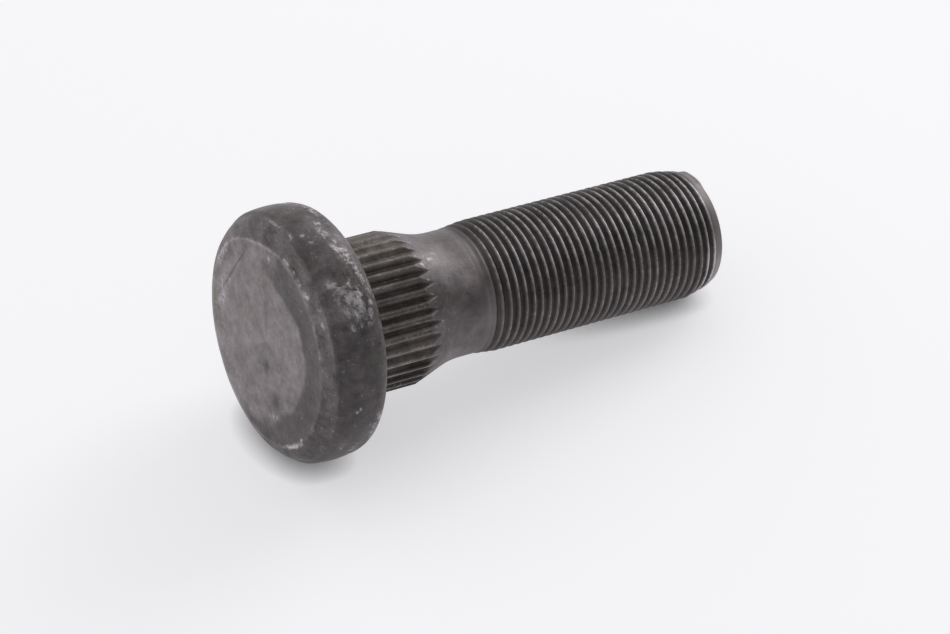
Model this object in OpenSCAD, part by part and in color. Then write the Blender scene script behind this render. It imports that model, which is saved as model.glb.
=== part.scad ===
// Press-in wheel bolt, one forged and rolled piece of steel
// It stands on the flat of its head at z = 0, with the shank pointing up along +Z
// Sizes are in millimetres

/* [Thread] */
// Outside diameter over the thread crests
thread_d = 22; // [20:0.5:24]
// Distance from one crest to the next
thread_pitch = 1.5; // [1:0.25:2]
// Turns over which the crests rise out of the neck
runout_turns = 3; // [1:0.5:4]
// Length over which the last crests get lower towards the end
lead_len = 3.4; // [2:0.2:6]
// How much the radius falls over that length
lead_drop = 0.7; // [0.2:0.05:0.9]
// Length of the bevel at the very end
end_bevel_len = 1.2; // [0.5:0.1:3]
// How much the radius falls over the end bevel
end_bevel_drop = 0.5; // [0.3:0.1:2]

/* [Shank] */
// Length under the head, from bearing face to end
shank_len = 70.3; // [60:0.1:110]
// Length of neck and thread together, measured back from the end
thread_side_len = 48.8; // [40:0.1:52]
// Length of the even neck before the crests start to rise
neck_len = 2.2; // [1:0.1:5]
// How far the neck lies below the thread crests
neck_under = 0.55; // [0.3:0.05:1]
// Radius of the hollow that blends the taper into the neck
neck_blend_r = 16; // [6:1:24]

/* [Serrated shoulder] */
// Diameter over the lands between the grooves
shoulder_d = 25.6; // [25:0.1:28]
// Slope of the taper from the lands down to the neck, in degrees from the axis
taper_angle = 18.5; // [14:0.5:30]
// Number of grooves round the shoulder
groove_count = 36; // [24:1:48]
// Depth of a groove below the lands
groove_depth = 0.85; // [0.4:0.05:1]
// Width of a groove at the lands
groove_w = 1.3; // [0.8:0.05:1.4]

/* [Head] */
// Diameter over the crown of the head
head_d = 41.8; // [40:0.2:46]
// Height from the front face to the bearing face
head_h = 11.2; // [10:0.1:14]
// Diameter of the flat middle of the front face
face_flat_d = 24.6; // [18:0.2:28]
// How far the ridge round the front face lies inside the crown
ridge_inset = 3.45; // [2.8:0.05:5]
// How far the face falls from its flat middle out to the ridge
ridge_fall = 0.12; // [0.04:0.02:0.3]
// How far the edge between the front bevel and the side lies inside the crown
front_edge_inset = 1.1; // [0.9:0.05:1.4]
// Height of that edge above the flat of the face
front_edge_z = 1.4; // [1.1:0.05:1.7]
// Radius of that edge
front_edge_r = 1.2; // [0.3:0.1:2]
// Height at which the side has swelled to its crown
crown_z = 3.1; // [2.6:0.1:4]
// How far the side bows out between there and its back edge
crown_bow = 0.22; // [0.05:0.01:0.4]
// Radius of the edge next to the bearing face
back_round_r = 3; // [1:0.1:4]

/* [Hidden] */
$fn = 144;
// Straight pieces that a rounded stretch of the outline is drawn with
ROUND_STEPS = 8;
// How far a shape runs on inside its neighbour, or a cutter past what it cuts
OVERRUN = 2;

thread_r = thread_d / 2;
neck_r = thread_r - neck_under;
shoulder_r = shoulder_d / 2;
head_r = head_d / 2;

// Places along the axis, from the head to the end
end_z = head_h + shank_len;
bevel_z = end_z - end_bevel_len;
lead_z = bevel_z - lead_len;
neck_z = end_z - thread_side_len;
rise_z = neck_z + neck_len;
full_thread_z = rise_z + runout_turns * thread_pitch;
blend_rise = neck_blend_r * (1 - cos(taper_angle));
blend_z = neck_z - neck_blend_r * sin(taper_angle);
land_end_z = blend_z - (shoulder_r - neck_r - blend_rise) / tan(taper_angle);

// Points of an arc in the outline's plane, each as [radius, height]
function arc(centre, r, from, to) =
    [for (i = [0:ROUND_STEPS]) let (a = from + (to - from) * i / ROUND_STEPS)
        centre + r * [cos(a), sin(a)]];

// Points of a shallow bow from p up to q that stands out by bow in its middle
function bowed(p, q, bow) =
    [for (i = [1:ROUND_STEPS - 1]) let (t = i / ROUND_STEPS)
        p + (q - p) * t + [4 * bow * t * (1 - t), 0]];

// Points of an arc of radius r that rounds the corner q between p and s
function rounded(p, q, s, r) =
    let (to_p = (p - q) / norm(p - q), to_s = (s - q) / norm(s - q),
         half = acos(to_p * to_s) / 2, middle = to_p + to_s,
         centre = q + middle / norm(middle) * r / sin(half),
         start = q + to_p * r / tan(half) - centre, end = q + to_s * r / tan(half) - centre)
    arc(centre, r, atan2(start[1], start[0]), atan2(end[1], end[0]));

// Corner points of the head's outline
side_r = head_r - crown_bow;
ridge = [head_r - ridge_inset, ridge_fall];
front_edge = [head_r - front_edge_inset, front_edge_z];
crown_start = [side_r, crown_z];
back_centre = [side_r - back_round_r, head_h - back_round_r];

// Outline of the head: flat, ridge, bevel, front edge, crowned side and back edge
module head_outline() {
    polygon(concat(
        [[0, 0], [face_flat_d / 2, 0], ridge],
        rounded(ridge, front_edge, crown_start, front_edge_r),
        [crown_start],
        bowed(crown_start, [side_r, back_centre[1]], crown_bow),
        arc(back_centre, back_round_r, 0, 90),
        [[0, head_h]]));
}

// Outline of the shank: lands, taper, hollow neck, thread envelope and bevelled end
module shank_outline() {
    polygon(concat(
        [[0, head_h - OVERRUN], [shoulder_r, head_h - OVERRUN], [shoulder_r, land_end_z]],
        arc([neck_r + neck_blend_r, neck_z], neck_blend_r, 180 + taper_angle, 180),
        [[neck_r, rise_z], [thread_r, full_thread_z], [thread_r, lead_z],
         [thread_r - lead_drop, bevel_z], [thread_r - lead_drop - end_bevel_drop, end_z],
         [0, end_z]]));
}

// V grooves along the shoulder; each runs out in a point where the taper drops below its bottom
module groove_cutters() {
    bottom_r = shoulder_r - groove_depth;
    top_r = shoulder_r + OVERRUN;
    top_half_w = groove_w / 2 * (top_r - bottom_r) / groove_depth;
    pitch_angle = 360 / groove_count;
    translate([0, 0, head_h - 2 * OVERRUN])
        linear_extrude(neck_z - head_h + 2 * OVERRUN)
            for (i = [0:groove_count - 1])
                rotate((i + 0.5) * pitch_angle)
                    polygon([[bottom_r, 0], [top_r, -top_half_w], [top_r, top_half_w]]);
}

module wheel_bolt() {
    color([0.30, 0.29, 0.30]) {
        rotate_extrude() head_outline();
        difference() {
            rotate_extrude() shank_outline();
            groove_cutters();
        }
    }
}

wheel_bolt();
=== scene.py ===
"""Dressed model of a press-in wheel bolt, one forged and rolled piece of dark steel.

The bolt stands on its head at z = 0 with its axis along +Z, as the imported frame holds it.
The photograph shows it lying on its side, so the camera and the pale floor are placed for that
view, and the floor is clear when it is seen from below.

Angles round the bolt are given from the side that faces the camera: 0 is that side, -90 the top
of the bolt as it lies and 90 its underside. Lengths are in millimetres until the mesh is made.
"""
import math

import bpy
import numpy as np
from mathutils import Matrix, Vector, noise


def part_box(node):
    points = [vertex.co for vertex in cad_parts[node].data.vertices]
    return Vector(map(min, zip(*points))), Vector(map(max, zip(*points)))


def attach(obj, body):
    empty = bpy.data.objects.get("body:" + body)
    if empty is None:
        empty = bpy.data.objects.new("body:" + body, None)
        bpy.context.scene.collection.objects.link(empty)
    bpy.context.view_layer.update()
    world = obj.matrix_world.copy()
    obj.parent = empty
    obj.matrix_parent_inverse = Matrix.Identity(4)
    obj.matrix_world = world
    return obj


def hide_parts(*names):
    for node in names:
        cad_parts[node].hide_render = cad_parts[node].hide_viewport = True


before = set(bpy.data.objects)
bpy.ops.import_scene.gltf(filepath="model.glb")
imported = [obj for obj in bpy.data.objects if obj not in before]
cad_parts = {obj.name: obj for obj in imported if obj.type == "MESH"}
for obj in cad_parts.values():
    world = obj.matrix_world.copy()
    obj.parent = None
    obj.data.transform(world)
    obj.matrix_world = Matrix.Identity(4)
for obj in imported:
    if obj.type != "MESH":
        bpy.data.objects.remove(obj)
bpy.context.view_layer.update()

MM = 0.001
low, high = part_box("wheel_bolt")

# Azimuth of the side that faces the camera
NEAR_AZ = -45.0

# Head, a hair inside the solid's widest circle
HEAD_R = (high[0] - low[0]) / 2 / MM - 0.02
HEAD_H = 11.2
DISC_R = 12.3
RIDGE_R = 17.45
RIDGE_FALL = 0.12
EDGE_R = 19.8
EDGE_Z = 1.4
CROWN_Z = 3.1
CROWN_BOW = 0.22
BACK_ROUND = 3.0

# Serrated shoulder and neck
SHOULDER_R = 12.8
LAND_END_Z = 23.07
GROOVES = 36
GROOVE_STEP = 360.0 / GROOVES
GROOVE_DEPTH = 0.85
GROOVE_HALF = 3.5  # in degrees, like the step
TAPER = math.radians(18.5)
NECK_R = 10.45
NECK_Z = 32.7
NECK_BLEND = 16.0

# Thread. Its crests start to rise at RISE_Z, are whole at FULL_Z and fall off from LEAD_Z; a crest
# passes the near side at CREST_Z, and the end is plain past the last one.
END_Z = high[2] / MM
RISE_Z = 34.9
FULL_Z = 39.4
THREAD_R = 11.0
ROOT_R = 10.08
LAST_ROOT_R = 9.95
LEAD_Z = 76.9
LEAD_R = 10.3
BEVEL_Z = 80.3
END_R = 9.8
PITCH = 1.5
CREST_Z = 36.08
LAST_CREST = 29

# How far the thread's own points keep from where it starts and from the rim of its end
START_GAP = 0.6
RIM_GAP = 0.12


def smooth(lo, hi, x):
    """0 below lo, 1 above hi, with an even start and end."""
    t = np.clip((np.asarray(x, dtype=float) - lo) / (hi - lo), 0.0, 1.0)
    return t * t * (3 - 2 * t)


def bump(x, centre, width):
    """A bell of height 1 round centre."""
    return np.exp(-(((x - centre) / width) ** 2))


def turn_from(az, centre):
    """Angle from centre to az in degrees, between -180 and 180."""
    return (az - centre + 180.0) % 360.0 - 180.0


def lumps(points, scale, seed):
    """Smooth noise between about -1 and 1 at each point, with lumps of the given size."""
    shift = Vector((seed, 2.3 * seed, 3.1 * seed))
    return np.array([noise.noise(Vector(p) / scale + shift) for p in points])


def ring_lumps(az, scale, seed):
    """The same noise along a circle of radius 18, for outlines that wander."""
    a = np.radians(az)
    return lumps(np.stack([18 * np.cos(a), 18 * np.sin(a), np.zeros(len(a))], 1), scale, seed)


class Skin:
    """Collects the points and faces of the bolt's one mesh."""

    def __init__(self):
        self.points = []
        self.depth = []
        self.faces = []

    def add(self, r, az, z, depth=0.0):
        """Adds a point. Depth is 0 on a land or crest and 1 at the bottom of a groove."""
        a = math.radians(az)
        self.points.append((r * math.cos(a), r * math.sin(a), z))
        self.depth.append(depth)
        return len(self.points) - 1

    def ring(self, az, r, z, depth=0.0):
        """Adds a ring of points, one at each azimuth in degrees, and gives their numbers."""
        shape = np.shape(az)
        values = [np.broadcast_to(v, shape) for v in (r, az, z, depth)]
        return [self.add(*v) for v in zip(*values)]

    def bridge(self, low_ring, high_ring):
        """Joins two rings. One of them may have twice as many points as the other."""
        n, m = len(low_ring), len(high_ring)
        if n == m:
            for i in range(n):
                j = (i + 1) % n
                self.faces.append((low_ring[i], low_ring[j], high_ring[j], high_ring[i]))
            return
        few, many = min(n, m), max(n, m)
        for i in range(few):
            j = (i + 1) % few
            a, b, c = 2 * i, 2 * i + 1, (2 * i + 2) % many
            if n < m:
                self.faces.append((low_ring[i], high_ring[b], high_ring[a]))
                self.faces.append((low_ring[i], low_ring[j], high_ring[b]))
                self.faces.append((low_ring[j], high_ring[c], high_ring[b]))
            else:
                self.faces.append((low_ring[a], low_ring[b], high_ring[i]))
                self.faces.append((low_ring[b], high_ring[j], high_ring[i]))
                self.faces.append((low_ring[b], low_ring[c], high_ring[j]))

    def cap(self, ring, z, down):
        """Closes a ring with a fan to a point on the axis."""
        centre = self.add(0.0, 0.0, z)
        for i, a in enumerate(ring):
            b = ring[(i + 1) % len(ring)]
            self.faces.append((centre, b, a) if down else (centre, a, b))

    def zip_columns(self, left, right):
        """Joins two upright columns of (key, point number). Points with the same key pair up."""
        p = q = 0
        while p < len(left) - 1 or q < len(right) - 1:
            up_left = left[p + 1][0] if p < len(left) - 1 else math.inf
            up_right = right[q + 1][0] if q < len(right) - 1 else math.inf
            a, b = left[p][1], right[q][1]
            if up_left == up_right:
                self.faces.append((a, b, right[q + 1][1], left[p + 1][1]))
                p += 1
                q += 1
            elif up_left < up_right:
                self.faces.append((a, b, left[p + 1][1]))
                p += 1
            else:
                self.faces.append((a, b, right[q + 1][1]))
                q += 1


# Azimuths of the columns of points: on the head, round the shank and round the serrations
HEAD_COLUMNS = 288
SHANK_COLUMNS = 144
head_az = (np.arange(HEAD_COLUMNS) + 1) * 360.0 / HEAD_COLUMNS
shank_az = np.arange(SHANK_COLUMNS) * 360.0 / SHANK_COLUMNS


def groove_angles():
    """Azimuths for the shoulder, packed closely where the groove edges are."""
    half = [0.5, 1.1, 1.8, 2.4, 2.8, 3.2, 4.1]
    across = np.array([-h for h in reversed(half)] + [0.0] + half + [GROOVE_STEP / 2])
    return np.concatenate([GROOVE_STEP * i + GROOVE_STEP / 2 + across for i in range(GROOVES)])


fine_az = groove_angles()
middle_az = fine_az[1::2]


# Outline of the head at each azimuth
def ridge_radius(near):
    """The ridge round the face: forged a little off centre, and flattened in two places."""
    off_centre = -0.35 * np.cos(np.radians(near))
    flats = bump(near, -70, 25) + 0.55 * bump(near, 65, 30)
    return RIDGE_R + off_centre - flats


def edge_radius(near):
    """The edge between bevel and side."""
    return EDGE_R + 0.28 * bump(near, 8, 18) - 0.25 * bump(near, -30, 12)


def edge_sharpness(near):
    """1 where the edge between bevel and side is crisp, 0 where it is forged round."""
    return smooth(-56, -30, near) * (1 - smooth(30, 56, near))


# Where the rings of the head lie on each stretch, as parts of its length. On the lower ring round
# the face each has the part of the fall to the ridge that it has reached.
FALL_STEPS = (
    (0.03, 0.1), (0.09, 0.27), (0.2, 0.55), (0.32, 0.74), (0.44, 0.84), (0.56, 0.9),
    (0.68, 0.95), (0.78, 0.97), (0.86, 0.94), (0.93, 0.88), (0.97, 0.86),
)
BEVEL_STEPS = (0.02, 0.05, 0.12, 0.24, 0.36, 0.48, 0.6, 0.72, 0.84, 0.94, 1.0)
EDGE_STEPS = (0.2, 0.4, 0.6, 0.8, 1.0)
SWELL_STEPS = (0.15, 0.3, 0.45, 0.6, 0.75, 0.88)


def head_rings():
    """Radius and height of each ring of the head, from the middle of the face to its back."""
    near = turn_from(head_az, NEAR_AZ)
    wander = ring_lumps(head_az, 5.0, 4.0)
    ridge = ridge_radius(near) + 0.07 * wander
    edge_r = edge_radius(near) + 0.06 * ring_lumps(head_az, 4.0, 9.0)
    crisp = edge_sharpness(near)
    flat = np.zeros(HEAD_COLUMNS)
    rings = [(flat + r, flat) for r in np.linspace(0.6, DISC_R - 0.3, 20)]
    for t, fall in FALL_STEPS:
        rings.append((DISC_R + (ridge - DISC_R) * t, flat + RIDGE_FALL * fall))
    ridge_z = flat + RIDGE_FALL
    rings.append((ridge, ridge_z))
    corner = 0.95 - 0.8 * crisp
    span = np.hypot(edge_r - ridge, EDGE_Z - ridge_z)
    along = np.stack([(edge_r - ridge) / span, (EDGE_Z - ridge_z) / span])
    swell = 0.14 - 0.09 * crisp
    for t in BEVEL_STEPS:
        way = t * (span - corner)
        lift = swell * 4 * t * (1 - 0.55 * t) * smooth(0, 0.1, t)
        bevel_r = ridge + along[0] * way + along[1] * lift
        rings.append((bevel_r, ridge_z + along[1] * way - along[0] * lift))
    start_r, start_z = rings[-1]
    crown_r = HEAD_R - CROWN_BOW
    wall = np.stack([crown_r - edge_r, flat + CROWN_Z - EDGE_Z])
    wall /= np.hypot(*wall)
    end_r, end_z = edge_r + wall[0] * corner, EDGE_Z + wall[1] * corner
    for t in EDGE_STEPS:
        u, v, w = (1 - t) ** 2, 2 * t * (1 - t), t * t
        rings.append((u * start_r + v * edge_r + w * end_r, u * start_z + v * EDGE_Z + w * end_z))
    for t in SWELL_STEPS:
        bow = 0.1 * 4 * t * (1 - t)
        rings.append((end_r + (crown_r - end_r) * t + bow, end_z + (CROWN_Z - end_z) * t))
    back_z = HEAD_H - BACK_ROUND
    for t in np.linspace(0, 1, 13):
        side_r = crown_r + 4 * CROWN_BOW * t * (1 - t)
        rings.append((flat + side_r, flat + CROWN_Z + (back_z - CROWN_Z) * t))
    for a in np.radians(np.linspace(8, 90, 12)):
        back_r = crown_r - BACK_ROUND * (1 - math.cos(a))
        rings.append((flat + back_r, flat + back_z + BACK_ROUND * math.sin(a)))
    return rings


# Dents in the face: x, y, size and depth
FACE_DENTS = [
    (1.0, 4.0, 1.5, 0.16), (5.0, 8.8, 1.7, 0.14), (-3.6, 4.8, 0.35, 0.05), (7.2, 1.5, 2.2, 0.03),
]

# The straight crease on the far side of the face: its middle, and the way from it to the rim
CREASE_AT = (-12.8, -4.3)
CREASE_OUT = (-0.908, -0.418)


def crease_window(x, y):
    """1 along the straight crease, 0 past its ends."""
    along = -(x - CREASE_AT[0]) * CREASE_OUT[1] + (y - CREASE_AT[1]) * CREASE_OUT[0]
    return 1 - smooth(4.6, 6.2, np.abs(along))


def face_relief(x, y):
    """How far each point of the face lies below the plain face, in mm."""
    relief = np.zeros(len(x))
    for cx, cy, size, depth in FACE_DENTS:
        relief += depth * np.exp(-(((x - cx) ** 2 + (y - cy) ** 2) / size**2) ** 1.5)
    outside = (x - CREASE_AT[0]) * CREASE_OUT[0] + (y - CREASE_AT[1]) * CREASE_OUT[1]
    relief += 0.05 * bump(outside, 0, 0.28) * crease_window(x, y) + 0.03 * smooth(0, 1.5, outside)
    return relief


def shank_r(z):
    """Radius of the plain shank between the bearing face and the rise of the thread."""
    z = np.asarray(z, dtype=float)
    blend_z = NECK_Z - NECK_BLEND * math.sin(TAPER)
    blend_r = NECK_R + NECK_BLEND * (1 - math.cos(TAPER))
    cone = blend_r + (blend_z - z) * math.tan(TAPER)
    hollow = NECK_R + NECK_BLEND - np.sqrt(np.maximum(NECK_BLEND**2 - (NECK_Z - z) ** 2, 0.0))
    return np.where(z < blend_z, np.minimum(cone, SHOULDER_R), np.where(z < NECK_Z, hollow, NECK_R))


def groove_cut(az):
    """Radius of the groove walls at each azimuth."""
    off = np.abs(az % GROOVE_STEP - GROOVE_STEP / 2)
    floor = SHOULDER_R - GROOVE_DEPTH
    return floor + GROOVE_DEPTH * np.sqrt((off / GROOVE_HALF) ** 2 + 0.02) - GROOVE_DEPTH * 0.08


def shoulder_r(z, az):
    """Radius of the serrated shoulder, with its groove edges a little rounded."""
    plain = shank_r(z)
    middle = GROOVE_STEP * np.floor(np.asarray(az) / GROOVE_STEP) + GROOVE_STEP / 2
    cut = groove_cut(az) + 0.09 * ring_lumps(middle, 2.4, 3.0)
    gap = 0.09
    return (plain + cut - np.sqrt((plain - cut) ** 2 + gap**2)) / 2 + gap * 0.1


def crest_r(z):
    """Radius over the thread's crests."""
    places = [RISE_Z, FULL_Z, LEAD_Z, BEVEL_Z, END_Z]
    return np.interp(z, places, [NECK_R, THREAD_R, THREAD_R, LEAD_R, END_R])


def root_r(z):
    """Radius at the bottom of the thread's groove."""
    places = [RISE_Z, FULL_Z - 1.0, 77.0, 79.0]
    return np.minimum(np.interp(z, places, [NECK_R, ROOT_R, ROOT_R, LAST_ROOT_R]), crest_r(z))


def groove_left(k, near):
    """1 where a turn of the groove is whole, 0 past the last crest, after which the end is plain."""
    if k == LAST_CREST - 1:
        return 1 - float(smooth(100, 170, near))
    return 1.0 if k < LAST_CREST else 0.0


def thread_depth(phase):
    """0 at a crest and 1 at a root, for the place between one crest and the next."""
    t = np.abs((phase + 0.5) % 1.0 - 0.5)
    return smooth(0.0, 0.44, t) * 0.25 + np.clip((t - 0.05) / 0.36, 0, 1) * 0.75


# Places of the points between one crest and the next, and turns that reach past both ends
PHASES = [0.0, 0.05, 0.11, 0.22, 0.37, 0.5, 0.63, 0.78, 0.89, 0.95]
TURNS = 34


def end_unevenness(near, z):
    """The edge of the end stands up in a lobe on the far side, and is bevelled more underneath."""
    lobe = smooth(-78, -66, near) * (1 - smooth(-46, -34, near)) * bump(z, END_Z - 0.15, 0.55)
    worn = bump(near, 108, 26) * smooth(79.6, END_Z, z)
    return 0.45 * lobe - 0.4 * worn


def thread_column(skin, az, foot, top):
    """One upright column of thread points, as (key, point number), between two given points."""
    near = turn_from(az, NEAR_AZ)
    start = CREST_Z + PITCH * near / 360.0
    first = math.floor((RISE_Z - 0.7 - start) / PITCH)
    column = [(-math.inf, foot)]
    for k in range(first, first + TURNS):
        for m, phase in enumerate(PHASES):
            z = start + PITCH * (k + phase)
            if RISE_Z - START_GAP < z < END_Z - RIM_GAP:
                depth = float(thread_depth(phase)) * groove_left(k, near)
                crest, root = float(crest_r(z)), float(root_r(z))
                r = crest - (crest - root) * depth + float(end_unevenness(near, z))
                number = skin.add(r, az, z, depth * smooth(0.05, 0.6, crest - root))
                column.append((k * len(PHASES) + m, number))
    column.append((math.inf, top))
    return column


def build_bolt():
    """The bolt's points, how deep each lies in a groove, and its faces."""
    skin = Skin()
    rings = [skin.ring(head_az, r, z) for r, z in head_rings()]
    skin.cap(rings[0], 0.0, down=True)
    # The bearing face, from the head's columns in to those of the serrations
    for az, r in ((middle_az, 16.2), (fine_az, 14.6), (fine_az, 13.4)):
        rings.append(skin.ring(az, r, HEAD_H))
    # The rows lie closest where the grooves run out on the taper
    rows = [np.linspace(HEAD_H, 22.4, 9), np.arange(22.6, 26.4, 0.16), np.linspace(26.5, 29.0, 6)]
    for z in np.concatenate(rows):
        r = shoulder_r(z, fine_az)
        rings.append(skin.ring(fine_az, r, z, np.clip((shank_r(z) - r) / GROOVE_DEPTH, 0, 1)))
    rings.append(skin.ring(middle_az, shank_r(29.7), 29.7))
    for z in (30.4, 31.2, 32.0, 33.0, 34.0):
        rings.append(skin.ring(shank_az, shank_r(z), z))
    for a, b in zip(rings[:-1], rings[1:]):
        skin.bridge(a, b)
    rim_r = END_R + end_unevenness(turn_from(shank_az, NEAR_AZ), END_Z)
    end = skin.ring(shank_az, rim_r, END_Z)
    columns = [thread_column(skin, az, rings[-1][j], end[j]) for j, az in enumerate(shank_az)]
    # Where angles go from 180 to -180, a crest joins the one that counts a turn higher
    seam = round((NEAR_AZ + 180.0) / 360.0 * SHANK_COLUMNS)
    for j in range(SHANK_COLUMNS):
        right = columns[(j + 1) % SHANK_COLUMNS]
        if (j + 1) % SHANK_COLUMNS == seam:
            right = [(key - len(PHASES), n) if math.isfinite(key) else (key, n) for key, n in right]
        skin.zip_columns(columns[j], right)
    rings = [end] + [skin.ring(shank_az, r, END_Z) for r in (9.1, 8.0, 6.0, 4.0, 2.0)]
    for a, b in zip(rings[:-1], rings[1:]):
        skin.bridge(a, b)
    skin.cap(rings[-1], END_Z, down=False)
    return np.array(skin.points), np.array(skin.depth, dtype=float), skin.faces


# Nicks in the thread's crests: angle, height, half width in degrees, half height in mm and depth
NICKS = [
    (-1, 64.5, 2.2, 0.5, 0.4), (-3, 57.3, 2.0, 0.5, 0.3), (12, 59.6, 1.6, 0.4, 0.25),
    (-30, 49.0, 2.0, 0.5, 0.2),
]


def forge(points):
    """Gives head and thread their shallow lumps, dents and nicks, never out of the plain form."""
    x, y, z = points.T
    r = np.hypot(x, y)
    face = (z < 0.5) & (r < 19)
    points[face, 2] += face_relief(x[face], y[face]) * smooth(18.4, 16.5, r[face])
    side = (r > 14) & (z < HEAD_H + 0.01)
    big = lumps(points[side], 6.0, 1.0)
    small = lumps(points[side], 1.7, 7.0)
    shrink = 1 - (0.06 + 0.05 * big + 0.026 * small) / r[side] * smooth(14, 18, r[side])
    points[side, 0] *= shrink
    points[side, 1] *= shrink
    thread = (z > FULL_Z - 2) & (z < END_Z - 0.5)
    near = turn_from(np.degrees(np.arctan2(y[thread], x[thread])), NEAR_AZ)
    dent = 0.02 * (1 + lumps(points[thread], 0.9, 5.0))
    for angle, at, wide, tall, depth in NICKS:
        dent += depth * bump(near, angle, wide) * bump(z[thread], at, tall)
    above_root = np.clip((r[thread] - ROOT_R) / (THREAD_R - ROOT_R), 0, 1)
    shrink = 1 - dent * above_root / r[thread]
    points[thread, 0] *= shrink
    points[thread, 1] *= shrink
    return points


def bolt_object():
    """The bolt's mesh, with the values that its material reads at each point."""
    points, depth, faces = build_bolt()
    points = forge(points)
    mesh = bpy.data.meshes.new("bolt_skin")
    mesh.from_pydata((points * MM).tolist(), [], faces)
    mesh.shade_smooth()
    obj = bpy.data.objects.new("bolt_skin", mesh)
    bpy.context.collection.objects.link(obj)
    for name, values in surface_looks(points, depth).items():
        layer = mesh.attributes.new(name, "FLOAT", "POINT")
        layer.data.foreach_set("value", values.astype(np.float32))
    return obj


# Marks are listed as: angle, place, half width in degrees, half height in mm, strength. Place is the
# height on the side of the head, neck and thread, and the radius on the face.
SIDE_WEAR = [
    (-7, 6.0, 5.0, 1.6, 0.62), (-12, 4.6, 3.0, 1.2, 0.5), (-2, 6.8, 4.0, 1.8, 0.55),
    (2, 8.0, 3.0, 1.0, 0.5), (-7, 5.3, 2.6, 0.5, 1.25), (-3, 4.7, 3.0, 0.45, 1.2),
    (-10, 7.7, 2.4, 0.4, 1.1), (-5, 7.1, 3.0, 0.5, 1.2), (-1, 6.2, 2.0, 0.4, 1.0),
    (-4, 9.2, 2.0, 0.3, 1.1), (0, 8.7, 1.6, 0.3, 1.1), (-16, 3.6, 1.0, 0.8, 0.9),
    (5, 6.6, 1.2, 0.3, 0.8), (5, 4.8, 1.0, 0.3, 0.6), (-9, 3.4, 4.0, 0.5, 0.45),
    (-14, 6.6, 3.0, 0.6, 0.5), (4, 5.2, 2.5, 1.0, 0.45), (-49, 7.3, 1.6, 0.5, 1.0),
    (-42, 6.9, 5.0, 0.7, 0.42), (-33, 7.5, 5.0, 0.7, 0.5), (-27, 8.3, 5.0, 0.6, 0.6),
    (-21, 8.6, 4.0, 0.5, 0.5), (-16, 9.2, 4.0, 0.5, 0.45), (-11, 9.9, 3.0, 0.4, 0.35),
    (-62, 8.8, 10.0, 0.7, 0.6), (-84, 7.6, 9.0, 1.0, 0.7), (-44, 3.5, 1.0, 0.4, 1.0),
    (-38, 4.3, 1.0, 0.45, 1.0), (-60, 1.8, 6.0, 0.4, 0.5), (-47, 2.0, 3.0, 0.4, 0.5),
    (60, 9.0, 12.0, 0.8, 0.35), (72, 6.5, 8.0, 1.2, 0.3), (43, 4.9, 1.0, 0.35, 0.8),
    (54, 7.5, 1.4, 0.4, 0.7), (52, 9.7, 3.0, 0.5, 0.6), (51, 4.8, 1.0, 0.3, 0.6),
    (66, 4.0, 6.0, 0.5, 0.2),
]
FACE_WEAR = [
    (-16, 17.8, 1.6, 0.35, 1.0), (-7, 19.1, 1.4, 0.35, 0.9), (0, 19.0, 1.4, 0.3, 0.8),
    (-56, 14.6, 1.6, 0.7, 0.8), (-26, 17.5, 8.0, 0.24, 0.6), (-38, 17.4, 5.0, 0.24, 0.4),
    (6, 17.2, 12.0, 0.2, 0.2), (93, 17.2, 12.0, 0.35, 1.0), (80, 16.7, 5.0, 0.25, 0.5),
    (-112, 17.2, 14.0, 0.8, 0.45), (-140, 14.8, 14.0, 1.0, 0.4), (108, 12.6, 8.0, 0.5, 0.35),
]
SIDE_STAINS = [
    (-84, 7.0, 16.0, 3.0, 0.9), (-52, 6.6, 7.0, 1.4, 0.7), (-36, 8.8, 10.0, 1.2, 0.6),
    (-10, 3.2, 16.0, 2.6, 0.85), (-34, 4.6, 8.0, 2.0, -0.2), (16, 6.0, 12.0, 3.0, -0.05),
    (40, 3.2, 10.0, 2.0, -0.16), (62, 8.6, 10.0, 1.0, 0.2), (-38, 3.0, 6.0, 1.2, -0.22),
    (-6, 2.4, 9.0, 1.6, 0.35), (-1, 5.2, 5.0, 2.0, 0.3),
]
# On the face the two strongest dark marks, at 106 and 123 degrees, lie in the two deep dents: painted
# shade.
FACE_STAINS_AND_DENT_SHADE = [
    (-15, 13.6, 13.0, 1.6, -0.12), (30, 13.2, 10.0, 1.4, 0.08), (66, 15.0, 18.0, 1.6, -0.16),
    (12, 8.6, 9.0, 1.6, -0.14), (106, 10.0, 9.0, 1.5, -0.54), (-95, 16.2, 18.0, 0.8, -0.14),
    (-135, 14.6, 25.0, 1.8, 0.2), (123, 4.3, 16.0, 1.2, -0.58), (-36, 9.5, 12.0, 1.6, 0.1),
    (150, 8.5, 14.0, 2.0, -0.07), (-110, 7.5, 18.0, 2.0, 0.06),
]
# On the neck the light marks at -36 and -28 degrees are partly a painted highlight and partly worn metal.
NECK_STAINS_AND_HIGHLIGHT = [
    (2, 26.4, 15.0, 2.6, -0.2), (-36, 27.2, 9.0, 2.2, 0.18), (-46, 32.6, 18.0, 1.6, -0.15),
    (-3, 32.8, 14.0, 2.4, 0.75), (62, 27.4, 16.0, 3.6, 0.3), (-18, 26.2, 6.0, 2.0, -0.14),
    (14, 33.0, 16.0, 1.8, -0.2), (-28, 28.0, 5.0, 2.0, 0.15), (-32, 23.9, 16.0, 0.5, -0.35),
]
NECK_WEAR = [
    (-31, 26.6, 3.5, 1.1, 0.45), (-37, 28.6, 2.5, 0.8, 0.2), (-12, 34.6, 12.0, 0.5, 0.3),
    (-45, 24.0, 0.9, 0.3, 0.6), (-35, 24.4, 1.0, 0.35, 0.9), (-25, 24.6, 0.9, 0.3, 0.8),
    (-15, 24.4, 0.9, 0.3, 0.6), (5, 24.4, 1.0, 0.3, 0.4),
]
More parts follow.
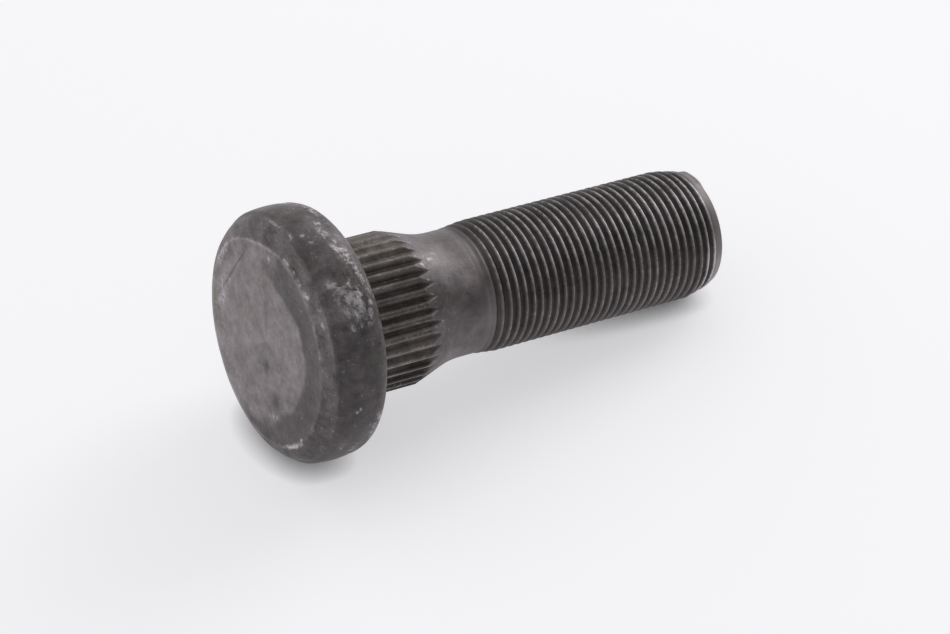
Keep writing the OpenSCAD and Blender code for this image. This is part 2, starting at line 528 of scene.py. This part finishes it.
THREAD_WEAR = [
    (-4, 57.6, 1.6, 0.4, 1.0), (-4, 64.9, 1.8, 0.5, 1.0), (3, 65.0, 1.6, 0.4, 0.8),
    (-18, 63.5, 8.0, 3.0, 0.3), (-14, 46.0, 10.0, 4.0, 0.3), (-32, 50.5, 3.0, 0.4, 0.7),
    (14, 60.0, 1.4, 0.3, 0.7),
]


def around(near, centre, width):
    """A bell of height 1 at an angle, all the way round the bolt."""
    return np.exp(-((turn_from(near, centre) / width) ** 2))


def beyond(near, lo, hi):
    """Rises from 0 to 1 between two angles, and falls to 0 again on the side turned away."""
    return smooth(lo, hi, near) * (1 - smooth(125, 170, near))


def strongest(marks, near, place):
    """Strongest of the listed marks at each point."""
    total = np.zeros(len(near))
    for angle, at, wide, tall, strength in marks:
        total = np.maximum(total, strength * around(near, angle, wide) * bump(place, at, tall))
    return total


def stains_and_painted_light(stains, near, place):
    """What the listed marks leave of the tone at each point: stains, and the painted shade and highlight
    among them.
    """
    left = np.ones(len(near))
    for angle, at, wide, tall, strength in stains:
        left *= 1 + strength * around(near, angle, wide) * bump(place, at, tall)
    return left


def face_looks(near, r, cloud, patch):
    """Tone and bare metal of the head's face: light where it is worn, with a dark crescent of painted
    shade round it on the near side.
    """
    disc_r = 11.9 - 0.8 * around(near, -35, 25) + 0.4 * around(near, 15, 22) - 0.5 * around(near, 50, 10)
    disc_r += 0.5 * cloud + 0.25 * patch
    wander = near + 9 * cloud
    end = np.interp(r, [12.5, 15.0, 16.7], [108.0, 126.0, 148.0])
    # Painted shade: the ring outside the disc is darkened in a crescent on the side towards the camera.
    crescent = smooth(-66, -42, wander) * (1 - smooth(-14, 8, wander - end))
    crescent *= smooth(-0.35, 0.45, r - disc_r)
    tone = 1.33 - 0.7 * crescent
    tone *= stains_and_painted_light(FACE_STAINS_AND_DENT_SHADE, near, r)
    bare = strongest(FACE_WEAR, near, r)
    return tone, bare


def bevel_tone(near):
    """Tone of the bevel outside the ridge."""
    far = smooth(88, 118, np.abs(turn_from(near, 15)))
    tone = 0.66 + 0.1 * around(near, -45, 22) + 0.27 * around(near, -12, 28) - 0.1 * around(near, 58, 22)
    return tone + (1.1 - tone) * far


def side_looks(near, z, cloud, patch):
    """Tone and bare metal of the side of the head: dark, with rubbed patches, a rubbed back edge and
    painted shade along the hollow under the edge.
    """
    tone = (0.57 + 0.1 * cloud) * stains_and_painted_light(SIDE_STAINS, near + 3 * patch, z + 0.4 * cloud)
    tone *= 1 + 0.3 * smooth(8.6, 10.4, z) * (1 - around(near, 20, 45))
    # Painted shade along the hollow where the bevel meets the side.
    valley = bump(z, EDGE_Z + 0.55, 0.32)
    tone *= 1 - valley * 0.18 * edge_sharpness(near)
    tone *= 1 + 0.6 * bump(z, 1.8, 0.7) * around(near, -58, 14)
    tone *= 1 - 0.2 * around(near, 48, 14) * (1 - smooth(8.0, 9.5, z))
    return tone, strongest(SIDE_WEAR, near + 2 * patch, z + 0.3 * cloud)


def wall_looks(near, x, y, land):
    """How much darker or lighter the walls of a groove are: the upper walls lighter from 8 degrees round
    to the underside, a painted reflection of the floor; the lower walls darker from -44 to -2 degrees and
    from 44 degrees on, and lighter round 24.
    """
    across = (np.degrees(np.arctan2(y, x)) % GROOVE_STEP) / (GROOVE_STEP / 2) - 1
    wall = bump(np.abs(across), 0.6, 0.32) * land * (np.hypot(x, y) < SHOULDER_R + 0.1)
    lower = wall * (across > 0)
    upper = wall * (across < 0)
    lower_darkening = 0.4 * smooth(-44, -30, near) * (1 - smooth(-2, 10, near)) + 0.8 * beyond(near, 44, 56)
    rubbed = 1 + lower * 0.5 * around(near, 24, 14)
    # Painted reflection: the upper walls, which face down to the floor, are lightened from 8 degrees
    # round to the underside.
    return (1 - lower * lower_darkening) * rubbed * (1 + upper * 1.8 * beyond(near, 8, 36))


def head_looks(near, r, z, cloud, patch):
    """Tone, bare metal and grain of the head: face, bevel and side, with the light lip between."""
    ridge = ridge_radius(near)
    face_tone, face_bare = face_looks(near, r, cloud, patch)
    side_tone, side_bare = side_looks(near, z, cloud, patch)
    bevel = smooth(-0.1, 0.25, r - ridge)
    side = smooth(0, 0.25, r - edge_radius(near) + 0.1) * np.where(z > 1.0, 1.0, 0.0)
    lip = bump(r, ridge, 0.28) * (0.6 + 0.3 * patch + 0.2 * cloud + 0.75 * around(near, -38, 30))
    lip *= (1 - side) * (z < 1.0)
    tone = face_tone * (1 - bevel) + bevel_tone(near) * bevel
    tone = (tone * (1 + 0.75 * np.clip(lip, 0, 1.4))) * (1 - side) + side_tone * side
    bare = face_bare * (1 - side) + side_bare * side
    return tone, bare, 1.0 + 0.35 * bevel * (1 - side)


def plain_neck_tone(near, z, cloud, patch):
    """Tone of the neck and of the lands, before their grooves, with painted shade on the side towards the
    camera.
    """
    tone = stains_and_painted_light(NECK_STAINS_AND_HIGHLIGHT, near + 3 * patch, z + 0.5 * cloud) * (1 + 0.08 * cloud)
    # Painted shade: darker round 10 and 42 degrees, where the steel faces the dark side of the room.
    return tone * (1 - 0.34 * around(near, 10, 24) - 0.12 * around(near, 42, 22))


def shoulder_tone(near, x, y, land, down, neck_tone):
    """Tone of the shoulder: dark grooves, with painted light lifting them on the top side and round -52
    and 36 degrees.
    """
    # Painted light: the grooves are lightened where light reaches into them.
    painted_groove_light = 0.5 * beyond(-near, 28, 62) + 0.65 * around(near, -52, 13) + 0.25 * around(near, 36, 14)
    tone = (neck_tone * (1 - 0.12 * land)) * (1 - down) + (0.43 + painted_groove_light) * down
    return tone * wall_looks(near, x, y, land)


def last_crests(z):
    """1 on the last crests, which are rubbed all round, and 0 before them."""
    return smooth(77.2, 78.0, z)


def thread_tone(near, z, down, neck_tone):
    """Tone of the thread: dark grooves between grey crests, and the neck's tone where it starts."""
    # Painted shade: the thread is darker on its top side.
    top_shade = 1 - 0.42 * beyond(-near, 28, 62)
    groove = 0.43 - 0.08 * beyond(near, 30, 60) - 0.1 * last_crests(z)
    tone = (0.98 * (1 - down) + groove * down) * top_shade
    # The plain end is rubbed underneath, and above where its edge stands up
    tone *= 1 + 0.1 * around(near, 60, 14) + 0.7 * smooth(79.6, 80.4, z) * beyond(near, 24, 44)
    tone *= 1 + 0.45 * smooth(80.0, 80.6, z) * around(near, -50, 25)
    tone *= 1 + smooth(79.9, 80.4, z) * around(near, -60, 14)
    # Darker along the underside, up to where the thread comes down to the floor
    tone *= 1 - 0.25 * around(near, 82, 12) * (1 - smooth(58, 74, z))
    begun = smooth(RISE_Z - START_GAP, RISE_Z + 0.5, z)
    return neck_tone * (1 - begun) + tone * begun


def thread_bareness(near, z, depth, down, cloud, patch):
    """Bare metal of the thread: its crests, brightest just above the near side where a painted highlight
    lies on the worn metal, and the listed marks.
    """
    # Painted highlight on the worn crests: strongest round -13 degrees, weaker from 2 degrees down and
    # above -55.
    crest_wear_and_highlight = (0.5 + 0.34 * cloud + 0.26 * patch) * (1 + around(near, -13, 15))
    crest_wear_and_highlight *= 1 - 0.6 * beyond(near, 2, 20) * (1 - 1.6 * last_crests(z))
    crest_wear_and_highlight *= (1 + 0.25 * smooth(58, 66, z)) * (1 - 0.5 * beyond(-near, 55, 75))
    rising = smooth(RISE_Z, FULL_Z, z) * (1 - smooth(BEVEL_Z - 0.4, BEVEL_Z + 0.1, z))
    # Turns up from the crest at CREST_Z, to leave out the plain end past the last crest
    turn = (z - CREST_Z) / PITCH - near / 360.0 - 0.08
    faded = np.where(turn > LAST_CREST - 1, smooth(85, 115, near), 0.0)
    crests = (1 - smooth(0.05, 0.26, depth)) * (turn < LAST_CREST) * (1 - faded)
    bare = crests * np.clip(crest_wear_and_highlight, 0, 1) * rising
    return np.maximum(bare, strongest(THREAD_WEAR, near, z) * (1 - down))


def surface_looks(points, depth):
    """Values at each point that the steel's material reads: tone, bare metal, brown and grain."""
    x, y, z = points.T
    r = np.hypot(x, y)
    near = turn_from(np.degrees(np.arctan2(y, x)), NEAR_AZ)
    cloud = lumps(points, 3.5, 11.0)
    patch = lumps(points, 1.2, 17.0)
    head = z < HEAD_H - 0.02
    shoulder = (z > HEAD_H - 0.02) & (z < 29)
    thread = z > RISE_Z - START_GAP

    def by_region(on_head, on_thread, elsewhere):
        """Puts the values of head, thread, and shoulder and neck together."""
        return np.where(head, on_head, np.where(thread, on_thread, elsewhere))

    # How far into a groove each point lies, where light reaches some grooves deeper than others
    lit = smooth(4, 22, near) * (1 - smooth(50, 62, near)) * shoulder
    down = smooth(0.08 + 0.4 * lit, 0.7 + 0.25 * lit, depth)
    down = np.where(thread, smooth(0.05, 0.56, depth), down)
    land = 1 - smooth(LAND_END_Z - 0.6, LAND_END_Z + 1.2, z)

    head_tone, head_bare, head_grain = head_looks(near, r, z, cloud, patch)
    neck_tone = plain_neck_tone(near, z, cloud, patch)
    groove_tone = shoulder_tone(near, x, y, land, down, neck_tone)
    land_edge = np.where(shoulder, bump(depth, 0.06, 0.05) * (0.3 + 0.4 * patch), 0.0)
    neck_bare = np.maximum(land_edge, strongest(NECK_WEAR, near + 3 * patch, z + 0.4 * cloud))
    thread_bare = thread_bareness(near, z, depth, down, cloud, patch)
    bare = by_region(head_bare, thread_bare, neck_bare)
    brown = by_region(0.15 + 0.1 * cloud, 0.15 + 0.5 * down, 0.15 + 0.4 * land + 0.3 * down)
    return {
        "tone": by_region(head_tone, thread_tone(near, z, down, neck_tone), groove_tone),
        "bare": np.clip(bare, 0, 1),
        "brown": np.clip(brown, 0, 1),
        "grain": by_region(head_grain, 0.45 + 0.39 * down, 0.82 + 0.14 * land),
    }


class Nodes:
    """Short hand for building a node tree."""

    def __init__(self, tree):
        self.tree = tree

    def add(self, kind, **settings):
        node = self.tree.nodes.new(kind)
        for name, value in settings.items():
            setattr(node, name, value)
        return node

    def link(self, out, socket):
        self.tree.links.new(out, socket)

    def feed(self, socket, value):
        if isinstance(value, bpy.types.NodeSocket):
            self.link(value, socket)
        else:
            socket.default_value = value

    def attribute(self, name):
        return self.add("ShaderNodeAttribute", attribute_name=name).outputs["Fac"]

    def math(self, operation, a, b=0.0):
        node = self.add("ShaderNodeMath", operation=operation)
        self.feed(node.inputs[0], a)
        self.feed(node.inputs[1], b)
        return node.outputs[0]

    def span(self, value, from_lo, from_hi, to_lo, to_hi):
        """Maps a value from one range to another, and holds it there."""
        node = self.add("ShaderNodeMapRange")
        for socket, number in zip(node.inputs, (value, from_lo, from_hi, to_lo, to_hi)):
            self.feed(socket, number)
        return node.outputs[0]

    def noise(self, place, scale, detail, rough):
        node = self.add("ShaderNodeTexNoise")
        self.link(place, node.inputs["Vector"])
        node.inputs["Scale"].default_value = scale
        node.inputs["Detail"].default_value = detail
        node.inputs["Roughness"].default_value = rough
        return node.outputs["Fac"]

    def mix(self, amount, a, b):
        node = self.add("ShaderNodeMix", data_type="RGBA")
        self.feed(node.inputs[0], amount)
        self.feed(node.inputs[6], a)
        self.feed(node.inputs[7], b)
        return node.outputs[2]

    def along(self, vector, direction):
        """How far a vector points in a direction."""
        node = self.add("ShaderNodeVectorMath", operation="DOT_PRODUCT")
        self.link(vector, node.inputs[0])
        node.inputs[1].default_value = direction
        return node.outputs["Value"]

    def shade(self, colour, amount):
        """A colour multiplied by a number."""
        node = self.add("ShaderNodeVectorMath", operation="SCALE")
        self.feed(node.inputs[0], colour)
        self.feed(node.inputs["Scale"], amount)
        return node.outputs[0]


def line_across(n, place, wander, at, out):
    """1 along the straight crease on the face and 0 away from it."""
    middle = (at[0] * out[0] + at[1] * out[1]) * MM
    along = (-out[1], out[0], 0)
    middle_along = (at[0] * along[0] + at[1] * along[1]) * MM
    wavy = n.span(wander, 0, 1, middle - 0.0002, middle + 0.0002)
    off = n.math("SUBTRACT", n.along(place, (*out, 0)), wavy)
    line = n.span(n.math("ABSOLUTE", off), 0.00008, 0.00035, 1, 0)
    past = n.math("ABSOLUTE", n.math("SUBTRACT", n.along(place, along), middle_along))
    line = n.math("MULTIPLY", line, n.span(past, 0.006, 0.0085, 1, 0))
    return n.math("MULTIPLY", line, n.span(n.along(place, (0, 0, 1)), 0.0003, 0.0005, 1, 0))


# Colours of the steel: its plain grey, the brown of its grooves, a violet bloom and bare metal
STEEL_GREY = (0.187, 0.168, 0.172, 1)
STEEL_BROWN = (0.19, 0.17, 0.14, 1)
STEEL_BLOOM = (0.19, 0.168, 0.182, 1)
BARE_METAL = (0.6, 0.57, 0.6, 1)
METALLIC = 0.7


def steel_material():
    """Dark oxidised steel with forged grain, stains, bare worn metal and brown in its grooves."""
    mat = bpy.data.materials.new("dark_steel")
    mat.use_nodes = True
    n = Nodes(mat.node_tree)
    bsdf = mat.node_tree.nodes["Principled BSDF"]
    place = n.add("ShaderNodeTexCoord").outputs["Object"]
    tone, bare, brown, grain = (n.attribute(name) for name in ("tone", "bare", "brown", "grain"))
    blotches = n.noise(place, 170, 3.0, 0.6)
    stains = n.noise(place, 450, 5.0, 0.62)
    mottle = n.noise(place, 1500, 4.0, 0.65)
    pits = n.noise(place, 3000, 2.0, 0.5)
    uneven = n.math("ADD", n.span(blotches, 0.3, 0.7, -0.2, 0.2), n.span(stains, 0.3, 0.7, -0.36, 0.36))
    uneven = n.math("ADD", uneven, n.span(mottle, 0.3, 0.7, -0.12, 0.12))
    uneven = n.math("SUBTRACT", uneven, n.span(pits, 0.26, 0.34, 0.3, 0.0))
    shade = n.math("MULTIPLY", n.math("ADD", n.math("MULTIPLY", uneven, grain), 1.0), tone)
    crease = n.math("MULTIPLY", line_across(n, place, stains, CREASE_AT, CREASE_OUT), 0.4)
    shade = n.math("MULTIPLY", shade, n.math("SUBTRACT", 1.0, crease))
    grey = n.mix(brown, STEEL_GREY, STEEL_BROWN)
    bloom = n.math("MULTIPLY", n.span(blotches, 0.45, 0.65, 0, 0.5), grain)
    skin = n.shade(n.mix(bloom, grey, STEEL_BLOOM), shade)
    broken = n.math("ADD", n.span(mottle, 0.38, 0.62, -0.3, 0.3), n.span(stains, 0.35, 0.65, -0.16, 0.16))
    worn = n.span(n.math("ADD", bare, n.math("MULTIPLY", broken, grain)), 0.15, 1.05, 0.0, 1.0)
    worn = n.math("MULTIPLY", worn, n.span(bare, 0.02, 0.25, 0.0, 1.0))
    specks = n.math("MULTIPLY", n.span(pits, 0.66, 0.74, 0.0, 0.7), n.span(stains, 0.46, 0.6, 0.0, 1.0))
    worn = n.math("MAXIMUM", worn, n.math("MULTIPLY", specks, n.span(grain, 0.85, 1.0, 0.0, 1.0)))
    n.link(n.mix(worn, skin, BARE_METAL), bsdf.inputs["Base Color"])
    bsdf.inputs["Metallic"].default_value = METALLIC
    rough = n.math("SUBTRACT", n.span(stains, 0.3, 0.7, 0.44, 0.56), n.math("MULTIPLY", worn, 0.12))
    n.link(rough, bsdf.inputs["Roughness"])
    relief = n.math("ADD", n.math("MULTIPLY", stains, 0.5), n.math("MULTIPLY", mottle, 0.4))
    relief = n.math("ADD", relief, n.math("MULTIPLY", pits, 0.15))
    height = n.add("ShaderNodeBump")
    height.inputs["Distance"].default_value = 0.0002
    n.link(n.math("MULTIPLY", relief, grain), height.inputs["Height"])
    height.inputs["Strength"].default_value = 0.6
    n.link(height.outputs[0], bsdf.inputs["Normal"])
    return mat


# Camera of the photograph, and how near and far it sees, in metres
LENS_MM = 136.19
SENSOR_MM = 36.0
CLIP = (0.01, 20)
EYE = Vector((365.74, -358.85, -244.90)) * MM
AIM = Vector((2.686, 4.198, 38.061)) * MM

# The way up from the floor that the bolt lies on, which it touches with its head and its thread's end
UP = Vector((-0.0503, -0.9891, -0.1383))


def look(eye, aim, up):
    """Turns an object's -Z axis from eye to aim, with its Y axis towards up."""
    back = (eye - aim).normalized()
    right = up.cross(back).normalized()
    turn = Matrix((right, back.cross(right), back)).transposed().to_4x4()
    return Matrix.Translation(eye) @ turn


def add_camera():
    """The camera that took the photograph."""
    data = bpy.data.cameras.new("camera")
    data.lens = LENS_MM
    data.sensor_width = SENSOR_MM
    data.clip_start, data.clip_end = CLIP
    cam = bpy.data.objects.new("camera", data)
    bpy.context.collection.objects.link(cam)
    cam.matrix_world = look(EYE, AIM, UP)
    bpy.context.scene.camera = cam


# The pale floor: half its width in metres, its colour, how much of it shows whatever the light, and how
# far the painted contact shadow reaches where the bolt touches it
FLOOR_HALF = 3.0
FLOOR_COLOUR = (0.6, 0.597, 0.61, 1)
FLOOR_GLOW = 0.88
CONTACT_REACH = 3.9 * MM


def add_floor(obj):
    """The pale floor that the photograph's bolt lies on, clear from below."""
    lowest = min(v.co.dot(UP) for v in obj.data.vertices)
    side = UP.orthogonal().normalized() * FLOOR_HALF
    other = UP.cross(side)
    foot = UP * lowest
    corners = [foot + side * a + other * b for a, b in ((-1, -1), (1, -1), (1, 1), (-1, 1))]
    mesh = bpy.data.meshes.new("floor")
    mesh.from_pydata([tuple(c) for c in corners], [], [(0, 1, 2, 3)])
    floor = bpy.data.objects.new("floor", mesh)
    bpy.context.collection.objects.link(floor)
    mat = bpy.data.materials.new("floor")
    mat.use_nodes = True
    n = Nodes(mat.node_tree)
    rays = n.add("ShaderNodeLightPath")
    seen = n.math("MAXIMUM", rays.outputs["Is Camera Ray"], rays.outputs["Is Glossy Ray"])
    matt = n.add("ShaderNodeBsdfDiffuse")
    matt.inputs["Color"].default_value = FLOOR_COLOUR
    open_sky = n.add("ShaderNodeAmbientOcclusion", samples=8)
    open_sky.inputs["Distance"].default_value = CONTACT_REACH
    glow = n.add("ShaderNodeEmission")
    glow.inputs["Color"].default_value = FLOOR_COLOUR
    # Painted contact shadow: the occlusion node dims the floor's glow near the bolt.
    shown = n.math("MULTIPLY", seen, FLOOR_GLOW)
    n.link(n.math("MULTIPLY", shown, open_sky.outputs["AO"]), glow.inputs["Strength"])
    lit = n.add("ShaderNodeAddShader")
    n.link(matt.outputs[0], lit.inputs[0])
    n.link(glow.outputs[0], lit.inputs[1])
    sides = n.add("ShaderNodeMixShader")
    n.link(n.add("ShaderNodeNewGeometry").outputs["Backfacing"], sides.inputs[0])
    n.link(lit.outputs[0], sides.inputs[1])
    n.link(n.add("ShaderNodeBsdfTransparent").outputs[0], sides.inputs[2])
    n.link(sides.outputs[0], mat.node_tree.nodes["Material Output"].inputs["Surface"])
    mesh.materials.append(mat)


# The room is pale all round and darker on the side where the photographer stands. Directions are in
# the photograph's right, up and towards; the lamp's distance and size are in metres.
ROOM_COLOUR = (1, 0.995, 1, 1)
ROOM_BRIGHT = 0.8
ROOM_DARK = 0.22
ROOM_SEEN = 0.93
DARK_SIDE = (0.62, -0.05, 0.78)
KEY_SIDE = (0.6, 0.79, -0.15)
KEY_DISTANCE = 1.2
KEY_SIZE = 0.7
KEY_POWER = 4


def add_room(camera):
    """The world: even light from all round, and the pale background that the camera sees."""
    world = bpy.data.worlds.new("world")
    bpy.context.scene.world = world
    world.use_nodes = True
    n = Nodes(world.node_tree)
    back = world.node_tree.nodes["Background"]
    back.inputs["Color"].default_value = ROOM_COLOUR
    heading = n.add("ShaderNodeTexCoord").outputs["Generated"]
    front = n.along(heading, (camera @ Vector(DARK_SIDE)).normalized())
    room = n.span(front, 0, 0.85, ROOM_BRIGHT, ROOM_DARK)
    seen = n.add("ShaderNodeLightPath").outputs["Is Camera Ray"]
    n.link(n.span(seen, 0, 1, room, ROOM_SEEN), back.inputs["Strength"])


def add_key_lamp(camera):
    """A square soft lamp above the bolt, aimed at its middle."""
    lamp = bpy.data.lights.new("key_lamp", "AREA")
    lamp.shape = "SQUARE"
    lamp.size = KEY_SIZE
    lamp.energy = KEY_POWER
    obj = bpy.data.objects.new("key_lamp", lamp)
    bpy.context.collection.objects.link(obj)
    direction = (camera @ Vector(KEY_SIDE)).normalized()
    middle = Vector((0, 0, END_Z / 2)) * MM
    obj.matrix_world = look(middle + direction * KEY_DISTANCE, middle, Vector((0.1, 0.2, 1)))


bpy.context.scene.view_settings.view_transform = "Standard"
bolt = bolt_object()
bolt.data.materials.append(steel_material())
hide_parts("wheel_bolt")
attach(bolt, "root")
add_camera()
add_floor(bolt)
camera_turn = bpy.context.scene.camera.matrix_world.to_3x3()
add_room(camera_turn)
add_key_lamp(camera_turn)
